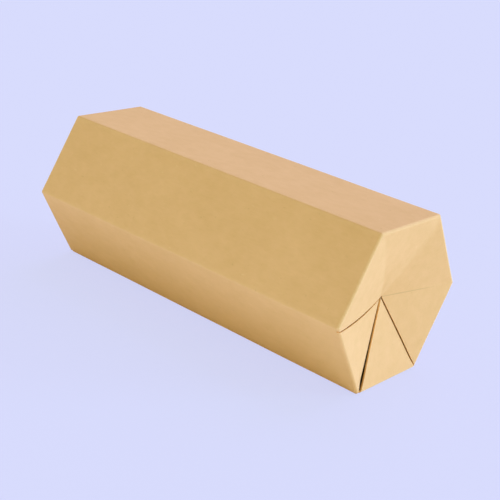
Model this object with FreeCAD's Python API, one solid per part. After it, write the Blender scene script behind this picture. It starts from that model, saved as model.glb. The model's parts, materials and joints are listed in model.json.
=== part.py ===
"""A long six-sided box folded from one sheet of kraft cardboard, lying on one of its walls.

Six walls are wrapped into a tube and closed by a glue flap at the lower left corner. Each end is a shallow
pyramid pushed into the tube. Four of its triangles stay joined by gussets folded behind them. The other two,
on each side of the glued corner, are free flaps that swing out on their creases.

X runs along the box, Z is up, and the origin is the middle of the face that the box rests on. Seen from +X,
corners are numbered clockwise from the upper left one, and wall k lies between corner k and corner k + 1.
All sizes are in millimetres.
"""

import FreeCAD, Part
import math
import os

os.makedirs("parts", exist_ok=True)

# ---- the box --------------------------------------------------------------------------------------------
wall_width = 50.0            # outside width of each of the six walls, corner to corner
box_length = 225.0           # outside length
end_recess = 12.0            # how far the middle of each end lies inside its rim

# ---- the board ------------------------------------------------------------------------------------------
board = 1.0                  # thickness of the cardboard
crease_radius = 0.3          # inside radius of every crease

# ---- the glued corner -----------------------------------------------------------------------------------
glue_flap_width = 14.0
glue_flap_setback = 14.0     # the glue flap stops this far short of each rim
glue_flap_taper = 6.0        # and each of its ends is cut back by this much more at its free edge
glue_line = 0.1              # glue between the glue flap and the bottom wall
glue_margin = 1.5            # board left without glue along the glue flap's edges
raw_edge_setback = 0.5       # from the corner to the raw edge of the bottom wall

# ---- the gussets behind the four joined triangles -------------------------------------------------------
ply_gap = 0.15               # air between folded plies
gusset_margin = 3.0          # a gusset stops this far short of the walls, the middle and the next fold

# ---- the free flaps, with each cut's width at the rim, half-way and at the middle -------------------------
crease_gap = 0.15            # between a flap and the box along its crease
bottom_slit = (0.40, 0.80, 0.45)     # between the bottom flap and the joined triangle beside it
seam_gap = (4.20, 2.10, 0.75)        # between the two flaps, above the glued corner
side_slit = (0.40, 0.40, 0.40)       # between the side flap and the joined triangle above it
side_lap = (1.60, 1.90, 0.30)        # board that the joined triangle keeps below its own corner
side_flap_blunt = 2.6        # the side flap's point is cut off this far short of the middle

# ---- worked out from those --------------------------------------------------------------------------------
wall_names = ("top", "upper right", "lower right", "bottom", "side", "upper left")
walls = len(wall_names)
BOTTOM, SIDE = wall_names.index("bottom"), wall_names.index("side")      # they carry the free flaps
SEAM = SIDE                                      # the glued corner, between those two walls
JOINED = [k % walls for k in range(SIDE + 1, BOTTOM + walls)]            # walls whose triangles are joined
GUSSETED = JOINED[1:]                            # corners with a gusset: those between two joined triangles
corner_turn = math.radians(360 / walls)          # how far the board turns at a long crease
apothem = wall_width * math.sqrt(3) / 2          # from the box's axis to the outside of a wall
outside_radius = crease_radius + board           # outside radius of every crease
lean = math.atan2(end_recess, apothem)           # how far the end triangles lean into the box
slant = math.hypot(end_recess, apothem)          # from a triangle's crease to its point
rim_turn = math.pi / 2 + lean                    # how far the board turns at the rim
rim_setback = outside_radius * math.tan(rim_turn / 2)
rim = box_length / 2 - outside_radius + rim_setback   # x where a wall's outside would meet its triangle's
reach = box_length                               # long enough to pass through any part of an end


# ---- places -----------------------------------------------------------------------------------------------
def point(x, y, z):
    return FreeCAD.Vector(x, y, z)


axis_point = point(0, 0, apothem)


def corner(k):
    """Outside corner k of the cross-section, where the planes of two walls would meet."""
    turn = math.radians(120) - corner_turn * k
    return axis_point + point(0, math.cos(turn), math.sin(turn)) * wall_width


class Wall:
    """Wall k's own directions: along its rim, and inward to the box's axis."""

    def __init__(self, k):
        self.start = corner(k)
        self.along = (corner(k + 1) - corner(k)).normalize()
        self.inward = (axis_point - (corner(k) + corner(k + 1)) * 0.5).normalize()

    def place(self, x, inward, along=0.0):
        """The point at x, this far inward from the wall's outside and this far along it from its start."""
        return self.start + self.inward * inward + self.along * along + point(x, 0, 0)


# ---- shapes -----------------------------------------------------------------------------------------------
def flat_face(points):
    return Part.Face(Part.makePolygon(points + points[:1]))


def along_x(points):
    """A bar with this outline, from the middle of the box out through its end."""
    return flat_face(points).extrude(point(reach, 0, 0))


def across(wall, pairs):
    """A bar across a wall, with this outline of (x, inward) pairs."""
    outline = [wall.place(x, inward, -wall_width) for x, inward in pairs]
    return flat_face(outline).extrude(wall.along * (3 * wall_width))


def bent_board(path, place):
    """Cross-section of bent board. path is the line of its outside face as (a, b) pairs, with the board to
    its left and every bend to the left, and place turns a pair into a point."""
    flat = [point(a, b, 0) for a, b in path]
    steps = [(q - p).normalize() for p, q in zip(flat, flat[1:])]
    lefts = [point(-step.y, step.x, 0) for step in steps]
    outside, inside = [(flat[0],)], [(flat[0] + lefts[0] * board,)]
    for here, before, after, left, next_left in zip(flat[1:-1], steps, steps[1:], lefts, lefts[1:]):
        setback = outside_radius * math.tan(before.getAngle(after) / 2)
        centre = here - before * setback + left * outside_radius
        spokes = [left * -1, (here - centre).normalize(), next_left * -1]
        outside.append(tuple(centre + spoke * outside_radius for spoke in spokes))
        inside.append(tuple(centre + spoke * crease_radius for spoke in spokes))
    outside.append((flat[-1],))
    inside.append((flat[-1] + lefts[-1] * board,))
    back = [stop[::-1] for stop in inside[::-1]]
    stops = [[place(p.x, p.y) for p in stop] for stop in outside + back]
    edges = []
    for stop, following in zip(stops, stops[1:] + stops[:1]):
        if len(stop) == 3:
            edges.append(Part.Arc(*stop).toShape())
        edges.append(Part.LineSegment(stop[-1], following[0]).toShape())
    return Part.Face(Part.Wire(edges))


def outside_corner(k):
    """What is empty outside the rounded long edge at corner k."""
    setback = outside_radius * math.tan(corner_turn / 2)
    before, after = Wall(k - 1), Wall(k)
    arc_start, arc_end = before.place(0, 0, wall_width - setback), after.place(0, 0, setback)
    outward = (corner(k) - axis_point).normalize()
    arc_middle = arc_end + (after.inward + outward) * outside_radius
    line = [arc_end, arc_end - after.inward * board, corner(k) + outward * (2 * board),
            arc_start - before.inward * board, arc_start]
    edges = [Part.Arc(arc_start, arc_middle, arc_end).toShape()]
    edges += [Part.LineSegment(p, q).toShape() for p, q in zip(line, line[1:])]
    return Part.Face(Part.Wire(edges)).extrude(point(reach, 0, 0))


def mirrored(shape):
    return shape.mirror(point(0, 0, 0), point(1, 0, 0))


# ---- spaces that share out an end -------------------------------------------------------------------------
def sector(k):
    """The wedge of an end that belongs to wall k, between the planes through its two corners."""
    beyond = 1.5                                 # as a share of the way from the axis to a corner
    rays = [axis_point + (end - axis_point) * beyond for end in (corner(k), corner(k + 1))]
    return along_x([axis_point] + rays)


def edge_strip(at, k, widths):
    """A strip of wall k's sector, along its boundary from corner at to the middle. widths are its widths at
    the rim, half-way and at the middle."""
    start = corner(at)
    onward = (axis_point - start).normalize()
    into = point(0, -onward.z, onward.y)
    if into.dot(Wall(k).place(0, 0, wall_width / 2) - start) < 0:
        into = into * -1
    over = wall_width / 8                        # how far it runs on past both ends

    def spot(distance, width):
        return start + onward * distance + into * width

    at_rim, half_way, at_middle = widths
    curve = Part.BSplineCurve()
    curve.interpolate([spot(wall_width, at_middle), spot(wall_width / 2, half_way), spot(0, at_rim)])
    line = [spot(0, at_rim), spot(-over, at_rim), spot(-over, 0), spot(wall_width + over, 0),
            spot(wall_width + over, at_middle), spot(wall_width, at_middle)]
    edges = [Part.LineSegment(p, q).toShape() for p, q in zip(line, line[1:])]
    return Part.Face(Part.Wire(edges + [curve.toShape()])).extrude(point(reach, 0, 0))


def beyond_crease(k, gap):
    """The triangle's side of the plane that halves wall k's rim crease, a gap away from that plane."""
    half = (math.pi - rim_turn) / 2              # from the wall's outside round to the plane
    down = (-math.cos(half), math.sin(half))     # along the plane into the box, as (x, inward)
    out = (math.sin(half), math.cos(half))       # square to the plane, towards the triangle
    corners = [(-wall_width, gap), (wall_width, gap), (wall_width, wall_width), (-wall_width, wall_width)]
    pairs = [(rim + down[0] * s + out[0] * t, down[1] * s + out[1] * t) for s, t in corners]
    return across(Wall(k), pairs)


def lean_point(distance, depth):
    """(x, inward) of the point this far up a triangle from its crease and this far behind its face."""
    return (rim - distance * math.sin(lean) - depth * math.cos(lean),
            distance * math.cos(lean) - depth * math.sin(lean))


def rim_and_triangle(k):
    """The last of wall k, its crease at the rim and its triangle down to the middle of the end."""
    path = [(rim - 2 * rim_setback, 0), (rim, 0), lean_point(slant * 1.1, 0)]
    section = bent_board(path, lambda x, inward: Wall(k).place(x, inward, -wall_width))
    strip = section.extrude(Wall(k).along * (3 * wall_width))
    return strip.common(sector(k)).cut([outside_corner(k), outside_corner(k + 1)])


# ---- the glued tube ---------------------------------------------------------------------------------------
lap = board + glue_line                                        # height of the glue flap's underside
lap_fold = corner(SEAM).y - lap / math.tan(corner_turn)        # y where it would meet the side wall's outside


def glue_flap_trims():
    """What is cut away at both ends of the glue flap."""
    near, far = lap_fold + outside_radius, lap_fold + glue_flap_width + board
    short = rim - glue_flap_setback
    outline = [(rim, near), (short, near), (short - glue_flap_taper, far), (rim, far)]
    face = flat_face([point(x, y, board + glue_line / 2) for x, y in outline])
    trim = face.extrude(point(0, 0, 2 * board))
    return [trim, mirrored(trim)]


def glue_bead():
    """The glue between the glue flap and the bottom wall, sunk a little into both so that they join."""
    half_length = rim - glue_flap_setback - glue_flap_taper - glue_margin
    start = lap_fold + outside_radius + glue_margin
    width = lap_fold + glue_flap_width - glue_margin - start
    return Part.makeBox(2 * half_length, width, 3 * glue_line, point(-half_length, start, board - glue_line))


def wall_tube():
    """The six walls and the glue flap, bent from one strip, up to where the rim creases start."""
    raw_edge = corner(SEAM).y + raw_edge_setback
    path = [(raw_edge, 0)] + [(corner(k).y, corner(k).z) for k in range(BOTTOM, BOTTOM - (walls - 1), -1)]
    path += [(lap_fold, lap), (lap_fold + glue_flap_width, lap)]
    end = rim - rim_setback
    tube = bent_board(path, lambda y, z: point(-end, y, z)).extrude(point(2 * end, 0, 0))
    return tube.cut(glue_flap_trims()).fuse(glue_bead())


def seam_space(tube):
    """What is empty at the glued corner, between the side wall's fold and the bottom wall's raw edge."""
    size = outside_radius + raw_edge_setback
    block = Part.makeBox(2 * rim, 2 * size, lap, point(-rim, corner(SEAM).y - size, 0))
    return block.cut(tube)


# ---- the gussets ------------------------------------------------------------------------------------------
def gusset_room(k):
    """Where wall k's gusset may lie: clear of the walls, of the middle and of the next fold."""
    low, high = board + gusset_margin, apothem - gusset_margin
    rows = [(low, 0), (low, wall_width), (high, wall_width), (high, 0)]
    room = along_x([Wall(k).place(0, inward, along) for inward, along in rows]).common(sector(k))
    return room.cut(edge_strip(k + 1, k, (gusset_margin,) * 3))


def gusset(k):
    """The web from corner k, between the triangles of walls k - 1 and k, folded double behind the second."""
    edge_angle = math.atan2(slant, wall_width / 2)           # from the rim to the triangle's edge
    fold_angle = 2 * edge_angle - math.pi / 2                # from the rim to the gusset's own fold
    root_end = (wall_width / 2, apothem)                     # ends of those two lines, as (along, inward)
    fold_end = (slant * math.cos(fold_angle), slant * math.sin(fold_angle) * math.cos(lean))

    def outline(pairs):
        return along_x([Wall(k).place(0, inward, along) for along, inward in pairs])

    def strip(end, other, width):
        """Along the line from the corner to end, on the side of it where other lies."""
        side = point(-end[1], end[0], 0).normalize() * width
        if side.dot(point(*other, 0)) < 0:
            side = side * -1
        return outline([(0, 0), end, (end[0] + side.x, end[1] + side.y), (side.x, side.y)])

    def layer(front, back):
        rows = [(0, front), (2 * slant, front), (2 * slant, back), (0, back)]
        return across(Wall(k), [lean_point(distance, depth) for distance, depth in rows])

    step = board + ply_gap
    rear = 2 * step + board
    web = outline([(0, 0), root_end, fold_end])
    plies = [layer(step * n, step * n + board).common(web) for n in (1, 2)]
    fold = layer(step, rear).common(strip(fold_end, root_end, board / 2))
    root = layer(board / 2, rear).common(strip(root_end, fold_end, board))
    return plies[0].fuse([plies[1], fold, root]).common(gusset_room(k))


# ---- the nodes --------------------------------------------------------------------------------------------
def kept_end():
    """What the box itself keeps of one end: the joined triangles, and its share of the flaps' creases."""
    triangles = {k: rim_and_triangle(k) for k in JOINED}
    triangles[BOTTOM - 1] = triangles[BOTTOM - 1].cut(edge_strip(BOTTOM, BOTTOM - 1, bottom_slit))
    pieces = list(triangles.values()) + [gusset(k) for k in GUSSETED]
    pieces += [rim_and_triangle(k).cut(beyond_crease(k, 0)) for k in (BOTTOM, SIDE)]
    pieces.append(rim_and_triangle(SIDE).common(edge_strip(SIDE + 1, SIDE, side_lap)))
    return pieces[0].fuse(pieces[1:])


def folded_box():
    tube = wall_tube()
    end = kept_end().cut(seam_space(tube))
    return tube.fuse([end, mirrored(end)]).removeSplitter()


def free_flap(k):
    return rim_and_triangle(k).common(beyond_crease(k, crease_gap))


def bottom_flap():
    return free_flap(BOTTOM).cut(edge_strip(SEAM, BOTTOM, seam_gap))


def side_flap():
    cut_widths = [kept + cut for kept, cut in zip(side_lap, side_slit)]
    start = apothem - side_flap_blunt
    rows = [(start, 0), (start, wall_width), (apothem + board, wall_width), (apothem + board, 0)]
    point_end = along_x([Wall(SIDE).place(0, inward, along) for inward, along in rows])
    return free_flap(SIDE).cut([edge_strip(SIDE + 1, SIDE, cut_widths), point_end])


def save(name, shape):
    solids = shape.Solids
    print(name, "solids", len(solids), "valid", shape.isValid(), "volume", round(shape.Volume, 1))
    (solids[0] if len(solids) == 1 else shape).exportStep(os.path.join("parts", name + ".step"))


save("folded_box", folded_box())
for end, turned in (("front", lambda shape: shape), ("rear", mirrored)):
    save(end + "_bottom_flap", turned(bottom_flap()))
    save(end + "_side_flap", turned(side_flap()))
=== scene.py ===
# %% [markdown]
# # A long hexagonal box folded from kraft board
#
# The real object is one die-cut sheet of brown board. Six walls wrap round into a tube that a glue flap
# closes. At each end six triangles fold in to a shallow pyramid: four of them stay joined by gussets, and
# the two beside the glued corner are free flaps. It could be modelled as a hexagonal tube with lids, but
# then its folds would be sharp and its flaps couldn't bend. So it is made as the carton maker makes it:
# strips of flat board are laid over the folds, and then given the board's thickness.

import json
import math

import bmesh
import bpy
from mathutils import Matrix, Vector, noise


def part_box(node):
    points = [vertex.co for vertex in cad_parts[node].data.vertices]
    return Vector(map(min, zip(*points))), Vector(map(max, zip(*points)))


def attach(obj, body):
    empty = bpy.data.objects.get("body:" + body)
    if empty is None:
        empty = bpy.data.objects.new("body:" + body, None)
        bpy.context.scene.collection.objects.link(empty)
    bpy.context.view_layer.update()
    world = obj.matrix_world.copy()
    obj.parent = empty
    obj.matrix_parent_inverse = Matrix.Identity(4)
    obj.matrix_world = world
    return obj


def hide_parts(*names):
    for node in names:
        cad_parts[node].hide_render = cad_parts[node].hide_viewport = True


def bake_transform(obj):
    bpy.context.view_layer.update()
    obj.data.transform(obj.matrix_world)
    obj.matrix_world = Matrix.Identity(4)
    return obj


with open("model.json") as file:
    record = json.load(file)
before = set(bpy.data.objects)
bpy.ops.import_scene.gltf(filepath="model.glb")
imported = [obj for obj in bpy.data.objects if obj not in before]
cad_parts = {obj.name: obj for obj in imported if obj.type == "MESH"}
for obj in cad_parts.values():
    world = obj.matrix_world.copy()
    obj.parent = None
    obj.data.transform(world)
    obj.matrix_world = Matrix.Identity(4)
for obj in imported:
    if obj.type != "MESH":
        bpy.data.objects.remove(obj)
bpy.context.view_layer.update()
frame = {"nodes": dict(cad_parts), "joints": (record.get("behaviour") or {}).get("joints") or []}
print("the frame holds", ", ".join(sorted(frame["nodes"])))

# %% [markdown]
# ## Sizes
# The frame gives the box's length, its height and the line of each flap's crease. The board's thickness
# and the way it is creased and cut are the carton maker's own values, so they are named here. Everything
# is in metres.

# %% The sizes of the box and of its board
mm = 0.001
walls = 6
BOTTOM, SIDE = 3, 4                       # the free flaps' walls: 0 is on top, and the rest go clockwise

board = 1.0 * mm
crease_radius = 0.3 * mm                  # inside every fold
end_recess = 12.0 * mm                    # from the rim in to the middle of an end

shell_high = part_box("folded_box")[1]      # its front, right and upper limits
creases = {joint["name"]: joint for joint in frame["joints"]}
apothem = shell_high.z / 2                # from the box's long axis out to a wall
wall_width = 2 * apothem / math.sqrt(3)
rim = creases["front_bottom_crease"]["pos_m"][0]
box_axis = Vector((0, 0, apothem))

fold_radius = crease_radius + board       # outside every fold
lean = math.atan2(end_recess, apothem)    # of a triangle, away from the plane of the rim
rim_turn = math.pi / 2 + lean
rim_setback = fold_radius * math.tan(rim_turn / 2)
corner_turn = 2 * math.pi / walls         # the sheet's turn at a long corner
corner_setback = fold_radius * math.tan(corner_turn / 2)
wall_end = rim - rim_setback              # where a wall ends and its rim fold begins
rim_bend = fold_radius * rim_turn         # length of board that the rim fold takes up
print(f"walls {wall_width / mm:.2f} mm wide, box {2 * shell_high.x / mm:.1f} mm long")

# %% [markdown]
# ## Folding a flat sheet
# A point of the sheet is told by its wall, by how far it has travelled from the middle of the box over
# the rim and down the triangle, and by its place across the wall. `Row` rolls the travel round the rim
# fold, `valley_rise` softens the valleys where two triangles meet, and `folded` rounds the long corners and
# gives the point its place. The folds could be cut into a solid and bevelled instead, but folds that are
# worked out have their true radius, and the free flaps fit the sheet because they use the same functions.

# %% Corners, walls and rows
def corner(k):
    """Corner k of the cross-section, where the planes of two walls would meet."""
    turn = math.radians(120 - 60 * k)
    return box_axis + Vector((0, math.cos(turn), math.sin(turn))) * wall_width


def along_and_inward(k):
    """Wall k's direction from its corner to the next one, and its direction into the box."""
    along = (corner(k + 1) - corner(k)).normalized()
    inward = (box_axis - (corner(k) + corner(k + 1)) / 2).normalized()
    return along, inward


class Row:
    """One row of the sheet, parallel to the rim: its x, how deep it lies inward, and its width."""

    def __init__(self, travel):
        past_fold = travel - wall_end - rim_bend
        turn = (travel - wall_end) / fold_radius
        if travel <= wall_end:
            self.x, self.inward = travel, 0.0
        elif past_fold <= 0:
            self.x = wall_end + fold_radius * math.sin(turn)
            self.inward = fold_radius * (1 - math.cos(turn))
        else:
            down = rim_setback + past_fold
            self.x, self.inward = rim - down * math.sin(lean), down * math.cos(lean)
        self.travel = travel
        self.depth = self.inward / apothem            # 0 at the rim and 1 at the middle of the end
        self.width = wall_width * (1 - self.depth)
        self.corner_radius = max(0.0, fold_radius - self.inward)


print("a row after the rim fold lies", round(Row(wall_end + rim_bend).inward / mm, 2), "mm in")

# %% The valleys between joined triangles
# by corner: softness is how far the fold spreads, and lift how far the triangle before it bulges over it
valleys = {
    0: {"softness": 1.6 * mm, "lift": 2.2 * mm},
    1: {"softness": 3.0 * mm, "lift": 2.0 * mm},
    2: {"softness": 1.2 * mm, "lift": 0.0},
    5: {"softness": 1.5 * mm, "lift": 0.0},
}
lift_reach = 9.0 * mm
lift_fade = 0.35                                 # share of the way out from the middle that lift grows in
valley_start = 0.18                              # share of the way in from the rim that a valley grows in
tip_softness = 0.3                               # share of a valley's softness that is left at the middle
most_softness = 0.9                              # of the width of the triangle
least_width, least_radius = 1e-6, 1e-7           # keep the sums finite at the middle of the end
ray = math.cos(corner_turn / 2)                  # square to a valley, for each metre along a row
print("widest valley:", max(valley["softness"] for valley in valleys.values()) / mm, "mm")

# %% How far the board stands out at a valley
def smooth(low, high, value):
    """0 up to the low value and 1 from the high one, with an even bend between them."""
    t = min(1.0, max(0.0, (value - low) / (high - low)))
    return t * t * (3 - 2 * t)


def rounded_max(low, value, radius):
    """The larger of the two, with the step between them rounded."""
    gap = value - low
    if gap <= -radius:
        return low
    if gap >= radius:
        return value
    return low + (gap + radius) ** 2 / (4 * radius)


def valley_rise(k, beyond, row):
    """How far the end stands out near corner k's valley; beyond is the way into wall k's triangle."""
    if row.depth <= 0 or k not in valleys:
        return 0.0
    valley = valleys[k]
    share = 1 - row.depth
    ramp = smooth(0.0, valley_start, row.depth)
    next_valley = max(row.width * ray, least_width)
    softness = valley["softness"] * (tip_softness + (1 - tip_softness) * share) * ramp
    radius = max(least_radius, min(softness, most_softness * next_valley))
    fade = math.exp(-(beyond / lift_reach) ** 2) * (1 - smooth(0.5, 1.0, abs(beyond) / next_valley))
    lift = valley["lift"] * ramp * smooth(0.0, lift_fade, share) * fade
    if beyond >= 0:
        return rounded_max(0.0, lift - beyond, radius)
    return rounded_max(lift, beyond, radius)


halfway_down = Row(wall_end + rim_bend + apothem / 2)
print("corner 1's valley is filled by", round(valley_rise(1, 0.0, halfway_down) / mm, 2), "mm half-way")

# %% Laying one point of the sheet
def folded(k, row, across):
    """Where a point of wall k's strip comes to lie, across metres from corner k along its row."""
    along, inward = along_and_inward(k)
    start = box_axis + (corner(k) - box_axis) * (1 - row.depth)
    place = start + along * across
    radius = row.corner_radius
    setback = radius * math.tan(corner_turn / 2)
    to_end = row.width - across
    raw_end = k == BOTTOM and to_end < across         # the bottom wall ends in a cut edge, not in a fold
    if radius > 0 and min(across, to_end) < setback and not raw_end:
        side = 1 if across < setback else -1
        centre = start + along * (setback if side == 1 else row.width - setback) + inward * radius
        turn = corner_turn / 2 * (1 - min(across, to_end) / setback)
        place = centre - (inward * math.cos(turn) + along * side * math.sin(turn)) * radius
    rise = valley_rise(k, across * ray, row) + valley_rise((k + 1) % walls, -to_end * ray, row)
    place.x = row.x + rise * math.tan(lean)
    return place


print("rim fold", round(math.degrees(rim_turn), 1), "degrees over", round(rim_bend / mm, 2), "mm of board")

# %% [markdown]
# ## The cuts
# Three cuts free the two flaps. Each starts at a corner of the rim and runs to the middle of the end, and
# its width changes on the way, because the flaps never close quite true. They could be cut out of the
# finished sheet with a Boolean modifier, but its edges would run across the faces. Here the board simply
# stops at a smooth curve through each cut's widths at the rim, half-way and at the middle.

# %% The cuts' widths
bottom_slit = (0.40 * mm, 0.50 * mm, 0.36 * mm)      # between the bottom flap and the triangle beside it
seam_gap = (2.25 * mm, 0.72 * mm, 0.27 * mm)         # between the two flaps, above the glued corner
side_slit = (0.55 * mm, 1.00 * mm, 0.45 * mm)        # between the side flap and the triangle above it
side_lap = (1.50 * mm, 2.05 * mm, 0.10 * mm)         # board that the joined triangle keeps below its corner


def cut_at(widths, row):
    """A cut's width, measured along a row."""
    u = row.depth
    at_rim, half_way, at_middle = widths
    width = at_rim * (1 - u) * (1 - 2 * u) + half_way * 4 * u * (1 - u) + at_middle * u * (2 * u - 1)
    return width / ray


print("seam gap half-way along a row:", round(cut_at(seam_gap, halfway_down) / mm, 2), "mm")

# %% [markdown]
# ## Laying strips of board
# `create_grid` makes a flat patch of quads, and each of its vertices is then laid over the folds. The
# grid's columns run between stops, such as a corner's rounding or the edge of a cut, so that an edge of
# the mesh follows every fold and every cut. Neighbouring patches share their edge points and are welded.
# Two numbers are kept on each vertex for the finish: how much paler a fold is, from rubbing and from a
# painted highlight, and how much shade is painted along the crisp valley.

# %% How much paler the board is, from rubbing and painted highlights, and where shade is painted in a crease
# the rims and the bottom flap's lip are painted paler, partly as rubbing and partly as a painted highlight;
# the crisp valley gets a painted line of shade
wear_and_highlight_reach = 0.7 * mm
crease_shade_reach = 0.35 * mm
crease_shade_start, crease_shade_full = 0.22, 0.5                  # shares of the way from the rim to the middle
rim_wear_and_highlight = {0: 0.5, SIDE: 0.2}                        # walls whose rims get less rubbing and less painted highlight than the others'
corner_rub = 0.2
corner_rub_end = 0.03                                # share of the way in where rubbed long corners end
lip_wear_and_highlight_strength = 2.0                                        # a cut lip gets more rubbing and painted highlight than a fold


def fold_wear_and_highlight(k, row, across):
    """1 over the outer half of a fold painted paler, as rubbing and, on the rims, as a painted highlight,
    and 0 a little way off it.
    """
    off_rim = abs(row.travel - wall_end - rim_bend / 2) - rim_bend / 4
    off_corner = min(across, row.width - across) - row.corner_radius / 2
    at_rim = (1 - smooth(0, wear_and_highlight_reach, off_rim)) * rim_wear_and_highlight.get(k, 1.0)
    at_corner = (1 - smooth(0, wear_and_highlight_reach, off_corner)) * (1 - smooth(0, corner_rub_end, row.depth))
    return max(at_rim, corner_rub * at_corner)


def lip_wear_and_highlight(to_lip, lip_width):
    """How much paler the board is painted this far from a lip, as rubbing and as a painted highlight.
    Nothing is, where the lip has no width.
    """
    return lip_wear_and_highlight_strength - lip_wear_and_highlight_strength * smooth(0, lip_width, to_lip) if lip_width else 0.0


def fold_crease_shade(k, row, across):
    """1 on the crisp valley at corner 2, where a line of shade is painted into its crevice, fading towards
    the rim.
    """
    if k not in (1, 2):
        return 0.0
    beyond = across if k == 2 else row.width - across
    return (1 - smooth(0, crease_shade_reach, beyond)) * smooth(crease_shade_start, crease_shade_full, row.depth)


print("the score's strength half-way:", round(fold_crease_shade(2, halfway_down, 0.0), 2))

# %% Laying a patch
def number_layer(bm, name):
    """The layer of this name, with a number for each vertex. It is made where it is missing."""
    return bm.verts.layers.float.get(name) or bm.verts.layers.float.new(name)


def columns_between(places, segments):
    """The columns' places across a row: each interval between two places is cut into its segments."""
    columns = [places[0]]
    for low, high, count in zip(places, places[1:], segments):
        columns += [low + (high - low) * step / count for step in range(1, count + 1)]
    return columns


def lay_board(bm, k, travels, stops, segments, lip_width=0.0):
    """A patch on wall k, with a row at each travel and columns in segments between the row's stops.

    The end of each row may be painted paler over the width of a lip, as rubbing and as a painted highlight.
    """
    # one number is for rubbing and painted highlight, the other for the shade painted in a crease
    worn, scored = number_layer(bm, "worn"), number_layer(bm, "scored")
    made = bmesh.ops.create_grid(bm, x_segments=sum(segments), y_segments=len(travels) - 1, size=1)
    rows = [Row(travel) for travel in travels]
    places = [(row, across) for row in rows for across in columns_between(stops(row), segments)]
    for vert, (row, across) in zip(made["verts"], places):
        vert.co = folded(k, row, across)
        vert[worn] = max(fold_wear_and_highlight(k, row, across), lip_wear_and_highlight(stops(row)[-1] - across, lip_width))
        vert[scored] = fold_crease_shade(k, row, across)


print("two columns between 0 and 1 end at", columns_between([0.0, 1.0], [2])[1:])

# %% Rows of the sheet
glue_flap_setback = 14.0 * mm                        # the glue flap stops this far short of the rim
glue_flap_taper = 6.0 * mm
support = 0.35 * mm                                  # rows close to a fold keep the faces beside it flat
middle_hole = 0.45 * mm                              # the joined triangles stop this short of the middle
flap_start = wall_end - 1.0 * mm                     # where a free flap's own piece takes over
glue_flap_end = rim - glue_flap_setback

long_run = glue_flap_end - glue_flap_taper
long_steps = bend_steps = 12
wall_rows = [long_run * step / long_steps for step in range(long_steps + 1)]
wall_rows += [glue_flap_end, (glue_flap_end + flap_start) / 2, flap_start - support, flap_start]
start_rows = [flap_start, wall_end - support, wall_end]
fold_rows = [wall_end + rim_bend * step / bend_steps for step in range(bend_steps + 1)]


def face_rows(short, steps=28):
    """Rows down a triangle that stops this far short of the middle, closer together at both ends."""
    top = wall_end + rim_bend + support
    length = (apothem - Row(top).inward - short) / math.cos(lean)
    shares = [step / steps for step in range(steps + 1)]
    return [top + length * (t / 2 + (1 - math.cos(math.pi * t)) / 4) for t in shares]


joined_rows = fold_rows + face_rows(middle_hole)
print("rows on half of the sheet:", len(wall_rows) + len(joined_rows))

# %% Columns of the sheet
raw_edge_setback = 0.5 * mm                          # from the glued corner to the bottom wall's raw edge
glue_line = 0.1 * mm                                 # between the bottom wall and the glue flap
lap = board + glue_line                              # height of the glue flap's underside
lap_across = lap / math.sin(corner_turn)             # where the side wall is that high, from its corner


def rounding(row):
    """How far along its row a long corner's rounding reaches. It shrinks with the row."""
    return corner_setback * (1 - row.depth)


def plain_stops(row):
    """A wall with a folded corner on both sides."""
    return [0.0, rounding(row), row.width - rounding(row), row.width]


print("a long corner's rounding reaches", round(rounding(Row(wall_end)) / mm, 2), "mm along a wall")

# %% Columns beside the cuts
widest_slit = 0.8                                    # the largest share of a row that a slit takes
slit_column = 0.6                                    # of a rounding, from the slit to the next column


def slit_stops(row):
    """The lower right wall: its far end is cut free of the bottom flap."""
    slit = min(cut_at(bottom_slit, row), widest_slit * row.width)
    beside_slit = row.width - slit - slit_column * rounding(row)
    return [0.0, rounding(row), beside_slit, row.width - slit, row.width]


def bottom_stops(row):
    """The bottom wall, from its folded corner to its raw edge beside the glued corner."""
    return [0.0, rounding(row), row.width - cut_at(seam_gap, row), row.width - raw_edge_setback]


def side_stops(row):
    """The side wall, from the end of the glue flap's fold to the corner above it."""
    lap_edge = row.width - cut_at(side_lap, row)
    flap_edge = lap_edge - cut_at(side_slit, row)
    return [lap_across + corner_setback, flap_edge, lap_edge, row.width - rounding(row), row.width]


def part_of(stops, first, last):
    """Only the stops from first to last."""
    return lambda row: stops(row)[first:last + 1]


arc, face = 3, 26                                    # columns in a corner's rounding and across a wall
print("columns across a plain wall:", face + 2 * arc)

# %% [markdown]
# ## The folded sheet
# Half of the sheet is laid from the middle of the box to its front end, and `mirror` makes the rear half.
# The walls of the free flaps stop a millimetre before their rim fold, and only the narrow strips beside the
# cuts run on. The flap's own piece has to hold the whole fold, because it bends there when the flap opens.

# %% Walls and joined triangles
sheet = bmesh.new()
for k in (5, 0, 1):
    lay_board(sheet, k, wall_rows + start_rows[1:] + joined_rows[1:], plain_stops, (arc, face, arc))
lay_board(sheet, 2, wall_rows + start_rows[1:], slit_stops, (arc, face, arc, 2))
lay_board(sheet, 2, joined_rows, part_of(slit_stops, 0, 3), (arc, face, arc))
lay_board(sheet, BOTTOM, wall_rows, bottom_stops, (arc, face, arc))
lay_board(sheet, BOTTOM, start_rows, part_of(bottom_stops, 2, 3), (arc,))
lay_board(sheet, SIDE, wall_rows, side_stops, (face, 1, 2, arc))
lay_board(sheet, SIDE, start_rows, part_of(side_stops, 1, 4), (1, 2, arc))
lay_board(sheet, SIDE, joined_rows, part_of(side_stops, 2, 4), (2, arc))
print("half a sheet:", len(sheet.faces), "faces")

# %% [markdown]
# ## The glue flap
# The side wall runs on under the glued corner into a narrow flap, which is glued on top of the bottom wall
# and closes the tube. It is one more patch of the same sheet. It could be a strip of its own, but then the
# board would have a joint where the real one is folded.

# %% The glue flap
glue_flap_width = 14.0 * mm
glue_columns = (2 * arc, 6)                          # round its fold, and over its flat
seam_bend = fold_radius * corner_turn                # board that the glue flap's fold takes up


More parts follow.
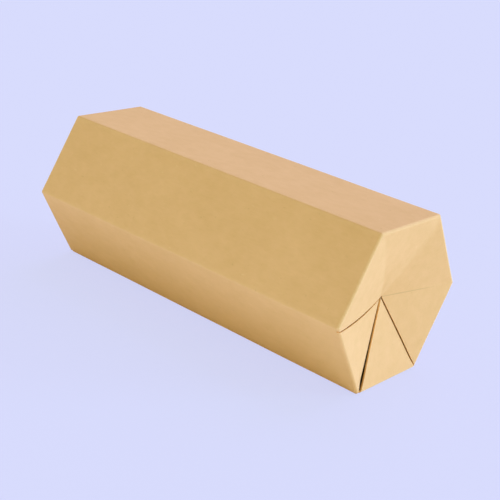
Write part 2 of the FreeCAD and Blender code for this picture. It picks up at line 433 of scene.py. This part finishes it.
def seam_place(x, beyond):
    """A point on the outside of the glue flap, beyond metres from the flat of the side wall."""
    fold = Vector((x, corner(SIDE).y - lap / math.tan(corner_turn), lap))
    centre = fold + Vector((0, corner_setback, fold_radius))
    turn = min(beyond / fold_radius, corner_turn)
    flat = max(0.0, beyond - seam_bend)
    outward = corner_turn - turn
    return centre + Vector((0, flat - fold_radius * math.sin(outward), -fold_radius * math.cos(outward)))


def glue_width(x):
    """The glue flap's width, which tapers to nothing at its end."""
    return glue_flap_width * min(1.0, max(0.0, (glue_flap_end - x) / glue_flap_taper))


made = bmesh.ops.create_grid(sheet, x_segments=sum(glue_columns), y_segments=len(wall_rows) - 1, size=1)
spots = []
for x in wall_rows:
    for beyond in columns_between([0.0, seam_bend, seam_bend + glue_width(x)], glue_columns):
        spots.append(seam_place(x, beyond))
for vert, spot in zip(made["verts"], spots):
    vert.co = spot
print("half a sheet with its glue flap:", len(sheet.faces), "faces")

# %% [markdown]
# ## Soft board
# Board is never quite flat. A slow noise presses the walls in by up to a fifth of a millimetre and the
# ends by up to a quarter. A Displace modifier on each piece could do it too. A function of the place alone
# is shorter here, and it makes the flaps and the sheet sag alike where they meet.

# %% How board sags
wall_sag, end_sag = 0.20 * mm, 0.25 * mm
sag_pitch = 38.0 * mm                                # between one shallow dent of a wall and the next
end_pitch = 0.6 * sag_pitch
end_shift = Vector((7, 3, 5))                        # the ends sag by another stretch of the same noise
end_margin = 4.0 * mm                                # the ends' sag grows from this far before the rim


def sag(place):
    """How a point of the box moves from its true place."""
    outward = Vector((0, place.y, place.z - box_axis.z))
    wave = max(0.0, 0.5 + 0.5 * noise.noise(place / sag_pitch))
    end_wave = max(0.0, 0.5 + 0.5 * noise.noise(place / end_pitch + end_shift))
    on_end = smooth(wall_end - end_margin, wall_end + fold_radius, abs(place.x))
    end_move = Vector((-math.copysign(end_sag * end_wave * on_end, place.x), 0, 0))
    return outward * (-wall_sag * wave / apothem) + end_move


top_middle = 2 * box_axis
print("the top wall's middle sags by", round(sag(top_middle).length / mm, 2), "mm")

# %% Mirror, weld and sag
weld = 0.001 * mm


def everything(bm):
    """All that a mesh holds, as the operators want it."""
    return bm.verts[:] + bm.edges[:] + bm.faces[:]


def settle(bm):
    """Welds a surface, turns its faces outward and lets it sag."""
    bmesh.ops.remove_doubles(bm, verts=bm.verts[:], dist=weld)
    bmesh.ops.dissolve_degenerate(bm, edges=bm.edges[:], dist=weld)
    bmesh.ops.recalc_face_normals(bm, faces=bm.faces[:])
    furthest = max(bm.faces, key=lambda f: (f.calc_center_median() - box_axis).length)
    if furthest.normal.dot(furthest.calc_center_median() - box_axis) < 0:
        bmesh.ops.reverse_faces(bm, faces=bm.faces[:])
    for vert in bm.verts:
        vert.co += sag(vert.co)


bmesh.ops.mirror(sheet, geom=everything(sheet), matrix=Matrix.Identity(4), merge_dist=weld, axis="X")
settle(sheet)
print("whole sheet:", len(sheet.faces), "faces,", sum(e.is_boundary for e in sheet.edges), "boundary edges")

# %% [markdown]
# ## Thickness and cut edges
# `solidify` gives the sheet its board: it moves a copy of the surface inward and closes the rim. A Solidify
# modifier would do the same, but the operator lets the script find the rim faces at once. They are the
# board's cut edges, and get a finish of their own. A die crushes the board where it cuts, so their lips get
# a fine bevel wherever the face beside them has room for it. The number `ply` runs from 0 outside to 1
# inside, for the layers in the edge.

# %% From a surface to board
edge_crush = 0.09 * mm
crush_room = 2.2 * edge_crush                        # a narrower face than this keeps a plain lip
joint_margin = 0.2 * mm                              # lips this close to the sheet stay plain


def lip_room(edge):
    """The width of the narrower face beside a lip."""
    return min(side.calc_area() for side in edge.link_faces) / edge.calc_length()


def thicken(bm, joint_at=None, crushed=True):
    """Gives the surface its thickness, and crushed lips except at x = joint_at, beside the sheet."""
    ply = number_layer(bm, "ply")
    outside = set(bm.verts)
    bmesh.ops.solidify(bm, geom=bm.faces[:], thickness=board)
    for vert in bm.verts:
        vert[ply] = 0.0 if vert in outside else 1.0
    cut_faces = [f for f in bm.faces if 0 < sum(v in outside for v in f.verts) < len(f.verts)]
    for cut_face in cut_faces:
        cut_face.material_index = 1
    if not crushed:
        return
    cut_set = set(cut_faces)
    lips = [e for e in bm.edges if sum(f in cut_set for f in e.link_faces) == 1]
    lips = [e for e in lips if lip_room(e) > crush_room]
    if joint_at is not None:
        lips = [e for e in lips if max(abs(abs(v.co.x) - joint_at) for v in e.verts) > joint_margin]
    bmesh.ops.bevel(bm, geom=lips, offset=edge_crush, offset_type="OFFSET", affect="EDGES",
                    segments=2, profile=0.5, material=-1, clamp_overlap=True)


thicken(sheet)
print("sheet of board:", len(sheet.faces), "faces")

# %% From a mesh to a piece
sharp_angle = math.radians(38)


def make_piece(name, bm):
    """An object of this name, shaded smooth except where its faces meet at a sharp angle."""
    mesh = bpy.data.meshes.new(name)
    bm.to_mesh(mesh)
    bm.free()
    mesh.shade_smooth()
    mesh.set_sharp_from_angle(angle=sharp_angle)
    piece = bpy.data.objects.new(name, mesh)
    bpy.context.scene.collection.objects.link(piece)
    print(name, len(mesh.polygons), "faces")
    return piece


print(f"faces that meet at more than {math.degrees(sharp_angle):.0f} degrees keep a sharp edge")

# %% [markdown]
# ## The gussets
# Behind each fold between two joined triangles a web of board is folded double, which is why those
# triangles can't open one by one. It is hidden until the flaps are open, so its lips stay plain. It could
# be drawn as an outline with a round end, but it is simpler to fold it as the real one is: each web starts
# as one triangle that `bisect_plane` trims. A copy of it is the second ply, and `spin` bends the board
# between the two.

# %% Working on a triangle of the end
gusset_margin = 3.0 * mm                             # a gusset stops this far short of what is beside it
ply_gap = 0.15 * mm                                  # air between folded plies
slant = math.hypot(end_recess, apothem)              # length of a triangle, from the rim to the middle


def triangle_frame(k):
    """Turns (along, down, behind) on wall k's triangle into a place: from corner k, on its outside."""
    along, inward = along_and_inward(k)
    down = inward * math.cos(lean) - Vector((math.sin(lean), 0, 0))
    behind = -inward * math.sin(lean) - Vector((math.cos(lean), 0, 0))
    turned = Matrix((along, down, behind)).transposed().to_4x4()
    turned.translation = corner(k) + Vector((rim, 0, 0))
    return turned


def trim(bm, co, no):
    """Cuts off what lies beyond the plane through co, on the side that no points to."""
    bmesh.ops.bisect_plane(bm, geom=everything(bm), dist=weld, plane_co=co, plane_no=no, clear_outer=True)


print(f"a triangle is {wall_width / mm:.1f} mm wide and {slant / mm:.1f} mm long")

# %% A web before it is folded
# On the flat sheet a web's midline runs straight on from the box's long corner. Behind the triangle that
# line is mirrored in the triangle's edge, and the web is folded along it.
edge_angle = math.atan2(slant, wall_width / 2)
fold_angle = 2 * edge_angle - math.pi / 2
fold_line = Vector((math.cos(fold_angle), math.sin(fold_angle), 0))
web_behind = Vector((0, 0, board + ply_gap / 3))     # from the triangle's outside to the web's


def flat_web():
    """A web's first ply, between its triangle's edge and its own fold line."""
    next_valley = Vector((slant, wall_width / 2, 0)).normalized()
    bm = bmesh.new()
    ends = (Vector(), Vector((wall_width / 2, slant, 0)), fold_line * slant)
    bm.faces.new([bm.verts.new(end + web_behind) for end in ends])
    trim(bm, (0, (board + gusset_margin) / math.cos(lean), 0), (0, -1, 0))
    trim(bm, (0, (apothem - gusset_margin) / math.cos(lean), 0), (0, 1, 0))
    trim(bm, Vector((wall_width, 0, 0)) - next_valley * gusset_margin, next_valley)
    return bm


def off_fold(edge):
    """How far an edge lies off the fold line."""
    return max(abs(v.co.x * fold_line.y - v.co.y * fold_line.x) for v in edge.verts)


print("a web is folded", round(math.degrees(fold_angle), 1), "degrees off the rim")

# %% Folding a web double
bend_faces = 8                                       # round a web's folded edge
turn_back = Vector((0, 0, 2 * board + ply_gap))      # from one ply to the other


def gusset(k):
    """The web behind wall k's triangle, folded double along a line from corner k."""
    bm = flat_web()
    fold = min(bm.edges, key=off_fold)
    second_ply = bmesh.ops.duplicate(bm, geom=everything(bm))["geom"]
    lifted = [v for v in second_ply if isinstance(v, bmesh.types.BMVert)]
    bmesh.ops.translate(bm, vec=turn_back, verts=lifted)
    bmesh.ops.spin(bm, geom=[fold, *fold.verts], cent=fold.verts[0].co + turn_back / 2, axis=-fold_line,
                   angle=math.pi, steps=bend_faces, use_merge=False, use_duplicate=False)
    bmesh.ops.remove_doubles(bm, verts=bm.verts[:], dist=weld)
    bmesh.ops.recalc_face_normals(bm, faces=bm.faces[:])
    facing = min(bm.faces, key=lambda f: f.calc_center_median().z)
    if facing.normal.z > 0:
        bmesh.ops.reverse_faces(bm, faces=bm.faces[:])
    bmesh.ops.transform(bm, matrix=triangle_frame(k), verts=bm.verts[:])
    thicken(bm, crushed=False)
    return bm


gussets = [gusset(k) for k in (0, 1, 2)]
print("faces of each gusset:", [len(bm.faces) for bm in gussets])

# %% The gussets behind the joined triangles
def add_to(bm, part):
    """Adds the part to the mesh, once at the front end and once mirrored at the rear end."""
    for turn in (1, -1):
        bmesh.ops.scale(part, vec=(turn, 1, 1), verts=part.verts[:])
        bmesh.ops.recalc_face_normals(part, faces=part.faces[:])
        carrier = bpy.data.meshes.new("carrier")
        part.to_mesh(carrier)
        bm.from_mesh(carrier)
        bpy.data.meshes.remove(carrier)
    part.free()


for part in gussets:
    add_to(sheet, part)
box_piece = make_piece("folded_sheet", sheet)

# %% [markdown]
# ## The free flaps
# Two triangles at each end are cut free on both sides and swing on their fold at the rim. A rigid flap
# would tear off its wall there. So each flap's piece holds the whole fold and a millimetre of wall, and the
# points where the fold would start and stop bending are worked out.

# %% Flap outlines
lip = 0.8 * mm                                       # width of the lip along the flaps' seam that is painted paler, as rubbing and as a painted highlight
lip_share = 0.3                                      # and the largest share of a row that it takes


def bottom_flap_stops(row):
    """The bottom flap's row, from its cut edge at corner 3 to the lip along the seam gap, which carries
    rubbing and a painted highlight.
    """
    edge = row.width - cut_at(seam_gap, row)
    return [0.0, rounding(row), edge - min(lip, lip_share * edge), edge]


def side_flap_stops(row):
    """The side flap's row, up to the cut above it. It clears the glue flap's lap only on the wall."""
    start = lap_across * (1 - smooth(wall_end, wall_end + rim_bend / 2, row.travel))
    edge = row.width - cut_at(side_lap, row) - cut_at(side_slit, row)
    return [start, start + rounding(row), edge]


# short is how far from the middle a flap's point ends, and out is how far each edge stands out
flaps = {
    "bottom": {
        "wall": BOTTOM, "stops": bottom_flap_stops, "segments": (arc, face, 2), "lip": lip,
        "short": 1.0 * mm, "out": (-0.60 * mm, 0.35 * mm),
    },
    "side": {
        "wall": SIDE, "stops": side_flap_stops, "segments": (arc, face), "lip": 0.0,
        "short": 2.0 * mm, "out": (-0.70 * mm, 0.0),
    },
}
for name, flap in flaps.items():
    print(name, "flap:", round(flap["stops"](halfway_down)[-1] / mm, 1), "mm wide half-way")

# %% [markdown]
# ## Flaps that don't lie true
# A flap that is folded shut is never quite in line with its neighbours: its edges sink in or stand out by
# part of a millimetre, which shows as light and shade along the cuts. Turning the whole flap would open a
# step at its fold, so each point moves by itself: not at all on the fold, and in full a short way past it.

# %% A slight twist
twist_start, twist_full = 0.02, 0.16                 # shares of the way from the rim to the middle
least_share = 0.04                                   # keeps the twist calm at a flap's point


def warp(bm, k, out):
    """Twists a flap a little: how far it stands out at its first edge and at its last one."""
    along, inward = along_and_inward(k)
    for vert in bm.verts:
        depth = (vert.co - corner(k)).dot(inward) / apothem
        side = (vert.co - corner(k)).dot(along) / wall_width
        share = min(1.0, max(0.0, (side - depth / 2) / max(least_share, 1 - depth)))
        vert.co.x += smooth(twist_start, twist_full, depth) * (out[0] + (out[1] - out[0]) * share)


print("the side flap's first edge sinks in by", round(-flaps["side"]["out"][0] / mm, 2), "mm")

# %% The four flaps
blend_from, blend_to = 0.15, 0.85                    # shares of the fold's chord at which the fold's start and stop points are worked out
flap_pieces = {}
for end, turn in (("front", 1), ("rear", -1)):
    for name, flap in flaps.items():
        bm = bmesh.new()
        travels = start_rows + fold_rows[1:] + face_rows(flap["short"])
        lay_board(bm, flap["wall"], travels, flap["stops"], flap["segments"], flap["lip"])
        warp(bm, flap["wall"], flap["out"])
        bmesh.ops.scale(bm, vec=(turn, 1, 1), verts=bm.verts[:])
        settle(bm)
        thicken(bm, joint_at=flap_start)
        node = f"{end}_{name}_flap"
        piece = make_piece(node + "_board", bm)
        rows = [Row(travel) for travel in (wall_end, wall_end + rim_bend)]
        fold_in, fold_out = (folded(flap["wall"], row, row.width / 2) for row in rows)
        start, stop = fold_in.lerp(fold_out, blend_from), fold_in.lerp(fold_out, blend_to)
        start.x, stop.x = turn * start.x, turn * stop.x
        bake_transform(piece)
        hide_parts(node)
        flap_pieces[node] = piece

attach(box_piece, "box")
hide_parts("folded_box")
print("pieces that bend at a crease:", ", ".join(sorted(flap_pieces)))

# %% [markdown]
# ## The kraft face
# Brown kraft paper has a cloudy tone, fine fibres that lie along the paper's run, and a few dark and light
# specks. One picture can't give that at every scale, so noises of several sizes are layered on Object
# coordinates, which need no unwrapping and run on over the folds. Rims and the flap's lip turn paler,
# partly from rubbing and partly as a painted highlight, and the crisp valley darker, as painted shade in
# its crevice, through the two numbers that were kept on the mesh.

# %% Adding and joining nodes
def plug(tree, socket, value):
    """Sets an input, or links it where the value is another node's output."""
    if isinstance(value, bpy.types.NodeSocket):
        tree.links.new(value, socket)
    else:
        socket.default_value = value


def add(tree, kind, settings=None, **inputs):
    """A new node with its settings and inputs; an underscore stands for a space in an input's name."""
    made = tree.nodes.new("ShaderNode" + kind)
    for name, value in (settings or {}).items():
        setattr(made, name, value)
    for name, value in inputs.items():
        plug(tree, made.inputs[name.replace("_", " ")], value)
    return made


print("nodes are added by the end of their type's name, as Math for", bpy.types.ShaderNodeMath.__name__)

# %% Sums, ranges, mixes and a new finish
def math_node(tree, operation, first, second):
    """The sum, product or the like of two numbers."""
    made = add(tree, "Math", {"operation": operation})
    plug(tree, made.inputs[0], first)
    plug(tree, made.inputs[1], second)
    return made.outputs[0]


def ranged(tree, value, low, high, to_low=0.0, to_high=1.0):
    """The value's range from low to high, stretched to the other range and held within it."""
    made = add(tree, "MapRange", Value=value, From_Min=low, From_Max=high, To_Min=to_low, To_Max=to_high)
    return made.outputs["Result"]


def colour_mix(tree, factor, first, second):
    """The first colour where the factor is 0, and the second where it is 1."""
    made = add(tree, "Mix", {"data_type": "RGBA"}, Factor=factor, A=first, B=second)
    return made.outputs["Result"]


def new_finish(name):
    """A material, its node tree and its shader."""
    finish = bpy.data.materials.new(name)
    finish.use_nodes = True
    return finish, finish.node_tree, finish.node_tree.nodes["Principled BSDF"]


kraft, tree, shader = new_finish("kraft_board")
print("a new finish starts with", ", ".join(node.name for node in tree.nodes))

# %% Noise and kept numbers
def grain(tree, scale, stretch=1.0, detail=2.0, roughness=0.5, shift=0.0):
    """A noise on the piece's own coordinates, drawn out along the box by the stretch."""
    place = add(tree, "TexCoord").outputs["Object"]
    drawn_out = (1 / stretch, 1.0, 1.0)
    turned = add(tree, "Mapping", Vector=place, Location=(shift, shift, shift), Scale=drawn_out)
    made = add(tree, "TexNoise", Vector=turned.outputs["Vector"], Scale=scale, Detail=detail,
               Roughness=roughness)
    return made.outputs[0]


def kept_number(tree, name):
    """A number that was kept on the mesh's vertices."""
    return add(tree, "Attribute", {"attribute_name": name}).outputs["Fac"]


# each noise's scale is its number of grains to the metre
clouds = grain(tree, 26.0, detail=3.0)
mottle = grain(tree, 210.0, stretch=1.6, shift=3.0)
fibres = grain(tree, 900.0, stretch=3.5, detail=3.0, roughness=0.65, shift=7.0)
print("three noises take", len(tree.nodes) - 2, "nodes")

# %% The colour of kraft paper
kraft_dark = (0.694, 0.436, 0.234, 1)
kraft_light = (0.768, 0.490, 0.290, 1)
cloud_share, mottle_share, fibre_share = 0.36, 0.34, 0.30
speck_from, speck_full = 0.70, 0.80                  # the noise's peaks are specks
specks = {
    "dark": {"colour": (0.44, 0.27, 0.12, 1), "scale": 620.0, "stretch": 1.8, "shift": 11.0, "most": 0.30},
    "light": {"colour": (0.90, 0.70, 0.46, 1), "scale": 520.0, "stretch": 2.2, "shift": 17.0, "most": 0.22},
}

tone = math_node(tree, "MULTIPLY", clouds, cloud_share)
for layer, share in ((mottle, mottle_share), (fibres, fibre_share)):
    tone = math_node(tree, "ADD", tone, math_node(tree, "MULTIPLY", layer, share))
colour = colour_mix(tree, ranged(tree, tone, 0.32, 0.68), kraft_dark, kraft_light)
for speck in specks.values():
    peaks = grain(tree, speck["scale"], stretch=speck["stretch"], shift=speck["shift"])
    amount = ranged(tree, peaks, speck_from, speck_full, 0.0, speck["most"])
    colour = colour_mix(tree, amount, colour, speck["colour"])
print("with its specks the paper has", len(tree.nodes), "nodes")

# %% Kraft board, with paler folds from rubbing and painted highlights, and painted shade in a valley
# the paler colour stands for rubbing and for a painted highlight on rims and lips; the darker one is
# painted shade along the crisp valley
rubbed_and_highlight_colour = (0.86, 0.63, 0.41, 1)
crease_shade_colour = (0.50, 0.33, 0.17, 1)
crease_shade_share = 0.75

rub_and_highlight = math_node(tree, "MULTIPLY", kept_number(tree, "worn"), ranged(tree, fibres, 0.2, 0.8, 0.20, 0.50))
colour = colour_mix(tree, rub_and_highlight, colour, rubbed_and_highlight_colour)
# shade painted along the crisp valley at corner 2
crease_shade_amount = math_node(tree, "MULTIPLY", kept_number(tree, "scored"), crease_shade_share)
colour = colour_mix(tree, crease_shade_amount, colour, crease_shade_colour)
plug(tree, shader.inputs["Base Color"], colour)
plug(tree, shader.inputs["Roughness"], ranged(tree, fibres, 0.25, 0.75, 0.74, 0.90))
shader.inputs["Specular IOR Level"].default_value = 0.35
bump = add(tree, "Bump", Strength=0.35, Distance=0.06 * mm, Height=fibres)
plug(tree, shader.inputs["Normal"], bump.outputs["Normal"])
print("kraft board has", len(tree.nodes), "nodes")

# %% [markdown]
# ## The cut edge
# A die leaves the board's layers bare: two thin brown liners, and between them a paler, fluffier core.
# Thin strips of mesh could stand for them, but they would be far finer than the board's other faces. The
# number `ply` runs through the thickness, so it places the layers on every edge, straight or curved.

# %% Cut board
liner = (0.78, 0.41, 0.16, 1)
core = (0.88, 0.54, 0.26, 1)
fluff = (0.78, 0.44, 0.19, 1)
core_edge, liner_edge = 0.30, 0.40                   # off the board's middle, in shares of its thickness

cut_board, tree, shader = new_finish("cut_board")
ply = kept_number(tree, "ply")
fray = grain(tree, 1500.0, stretch=1.5, detail=3.0, roughness=0.7, shift=5.0)
layers = grain(tree, 420.0, stretch=6.0, shift=23.0)
depth = math_node(tree, "ADD", ply, ranged(tree, fray, 0.3, 0.7, -0.07, 0.07))
from_middle = math_node(tree, "ABSOLUTE", math_node(tree, "SUBTRACT", depth, 0.5), 0.0)
inner = colour_mix(tree, ranged(tree, layers, 0.35, 0.65), core, fluff)
colour = colour_mix(tree, ranged(tree, from_middle, core_edge, liner_edge), inner, liner)
plug(tree, shader.inputs["Base Color"], colour)
shader.inputs["Roughness"].default_value = 0.92
shader.inputs["Specular IOR Level"].default_value = 0.2
bump = add(tree, "Bump", Strength=0.5, Distance=0.12 * mm, Height=fray)
plug(tree, shader.inputs["Normal"], bump.outputs["Normal"])
print("cut board has", len(tree.nodes), "nodes")

# %% Every piece gets both finishes
for piece in [box_piece, *flap_pieces.values()]:
    piece.data.materials.append(kraft)
    piece.data.materials.append(cut_board)
print("pieces with both finishes:", 1 + len(flap_pieces))

# %% [markdown]
# ## The floor and the backdrop
# The box stands on a wide pale lavender sheet. Lit paper alone would turn grey and uneven, and more lamps
# would bleach the box. So the camera sees most of the sheet's colour as it is written, and the rest as lit
# paper, which keeps the box's soft shadow. Light that bounces off it back to the box is nearly white.

# %% The floor
backdrop = (0.687, 0.714, 1.0, 1)
horizon = (0.684, 0.711, 0.962, 1)                   # the floor's look far off, which the backdrop takes on
floor_white = (0.98, 0.97, 0.92, 1)                  # what the floor throws back at the box
plain_share = 0.85                                   # of the floor's look that shadows leave alone
floor_drop = 0.2 * mm
floor_reach = 6.0                                    # from its middle to its edges

bm = bmesh.new()
bmesh.ops.create_grid(bm, x_segments=1, y_segments=1, size=floor_reach)
bmesh.ops.translate(bm, vec=(0, 0, -floor_drop), verts=bm.verts[:])
floor_mesh = bpy.data.meshes.new("floor")
bm.to_mesh(floor_mesh)
bm.free()
floor = bpy.data.objects.new("floor", floor_mesh)
bpy.context.scene.collection.objects.link(floor)
print("floor", 2 * floor_reach, "m wide")

# %% The floor's paper
def seen_directly(tree):
    """1 for rays from the camera and for their mirror and glass images, and 0 for light that bounces."""
    path = add(tree, "LightPath")
    seen = math_node(tree, "MAXIMUM", path.outputs["Is Camera Ray"], path.outputs["Is Glossy Ray"])
    return math_node(tree, "MAXIMUM", seen, path.outputs["Is Transmission Ray"])


floor_paper, tree, shader = new_finish("floor_paper")
seen = seen_directly(tree)
plug(tree, shader.inputs["Base Color"], colour_mix(tree, seen, floor_white, backdrop))
shader.inputs["Roughness"].default_value = 1.0
shader.inputs["Specular IOR Level"].default_value = 0.0
plain = add(tree, "Emission", Color=backdrop)
share = math_node(tree, "MULTIPLY", seen, plain_share)
both = tree.nodes.new("ShaderNodeMixShader")
plug(tree, both.inputs[0], share)
plug(tree, both.inputs[1], shader.outputs["BSDF"])
plug(tree, both.inputs[2], plain.outputs["Emission"])
plug(tree, tree.nodes["Material Output"].inputs["Surface"], both.outputs["Shader"])
floor_mesh.materials.append(floor_paper)
print(f"of the floor's look {plain_share:.0%} is plain colour, and the rest is lit")

# %% [markdown]
# ## Light
# A warm even light comes from all round, as in a bright room. A cool one comes in low from the right and
# the front, as from a window, and a wide blue one from above on the right, as from a skylight. A lamp
# alone would leave the walls that face away from it black, and a room that is equally bright all round
# would make all walls look alike. Together they light the box at about the level at which a colour looks
# as it is written.

# %% Room, window and skylight
room_light = (0.760, 0.750, 0.380, 1)
lamps = {
    "window": {"colour": (0.470, 0.680, 0.850), "from": Vector((0.70, 0.70, 0.17)), "width": 24},
    "skylight": {"colour": (0.200, 0.165, 0.490), "from": Vector((-0.10, 0.65, 0.75)), "width": 50},
}

world = bpy.data.worlds.new("room")
bpy.context.scene.world = world
world.use_nodes = True
tree = world.node_tree
room = colour_mix(tree, seen_directly(tree), room_light, horizon)
plug(tree, tree.nodes["Background"].inputs["Color"], room)

for name, lamp in lamps.items():
    sun = bpy.data.lights.new(name, "SUN")
    strongest = max(lamp["colour"])
    sun.energy = math.pi * strongest
    sun.color = [channel / strongest for channel in lamp["colour"]]
    sun.angle = math.radians(lamp["width"])
    holder = bpy.data.objects.new(name, sun)
    holder.rotation_euler = lamp["from"].to_track_quat("Z", "Y").to_euler()
    bpy.context.scene.collection.objects.link(holder)
    off_zenith = math.degrees(lamp["from"].angle(Vector((0, 0, 1))))
    print(name, "stands", round(off_zenith), "degrees off the zenith")

# %% [markdown]
# ## A card on the floor
# The lower left wall leans over the floor, and would fade to brown towards its foot. A pale card that lies
# beside the box throws a little light up at it, as it does in a studio. It could be a white sheet that only
# reflects, but a small area light says exactly how much.

# %% The card beside the box
card_light = (0.121, 0.150, 0.205)                   # watts of red, green and blue
card_size = (0.50, 0.10)
card_place = Vector((0, -0.16, 0.001))

card = bpy.data.lights.new("card", "AREA")
card.shape = "RECTANGLE"
card.size, card.size_y = card_size
card.energy = max(card_light)
card.color = [channel / max(card_light) for channel in card_light]
card_holder = bpy.data.objects.new("card", card)
card_holder.matrix_world = Matrix.Translation(card_place) @ Matrix.Rotation(math.pi, 4, "X")
bpy.context.scene.collection.objects.link(card_holder)
print(f"card {card_size[0]} m long, {-card_place.y:.2f} m to the left of the box's middle")

# %% [markdown]
# ## The camera
# It looks at the front end from the left and a little above, and is rolled by a few degrees. Its place is
# worked out from angles and a distance round the point that it aims at, and not typed in as coordinates,
# because each of these numbers can then be changed alone.

# %% Placing the camera
camera_azimuth, camera_elevation, camera_roll = 40.28, 21.43, 6.44     # degrees
camera_distance = 0.62
camera_aim = Vector((0.0079, 0.0039, 0.0357))
camera_lens = 79.54                                  # millimetres, as is the sensor

camera_data = bpy.data.cameras.new("camera")
camera_data.sensor_width = 36.0
camera_data.lens = camera_lens
camera = bpy.data.objects.new("camera", camera_data)
bpy.context.scene.collection.objects.link(camera)
azimuth, elevation = math.radians(camera_azimuth), math.radians(camera_elevation)
level_back = Vector((math.sin(azimuth), -math.cos(azimuth), 0))
back = level_back * math.cos(elevation) + Vector((0, 0, math.sin(elevation)))
facing = back.to_track_quat("Z", "Y").to_matrix().to_4x4()
rolled = Matrix.Rotation(math.radians(camera_roll), 4, "Z")
camera.matrix_world = Matrix.Translation(camera_aim + back * camera_distance) @ facing @ rolled
bpy.context.scene.camera = camera
bpy.context.scene.view_settings.view_transform = "Standard"
print("camera at", [round(number, 3) for number in camera.matrix_world.translation])
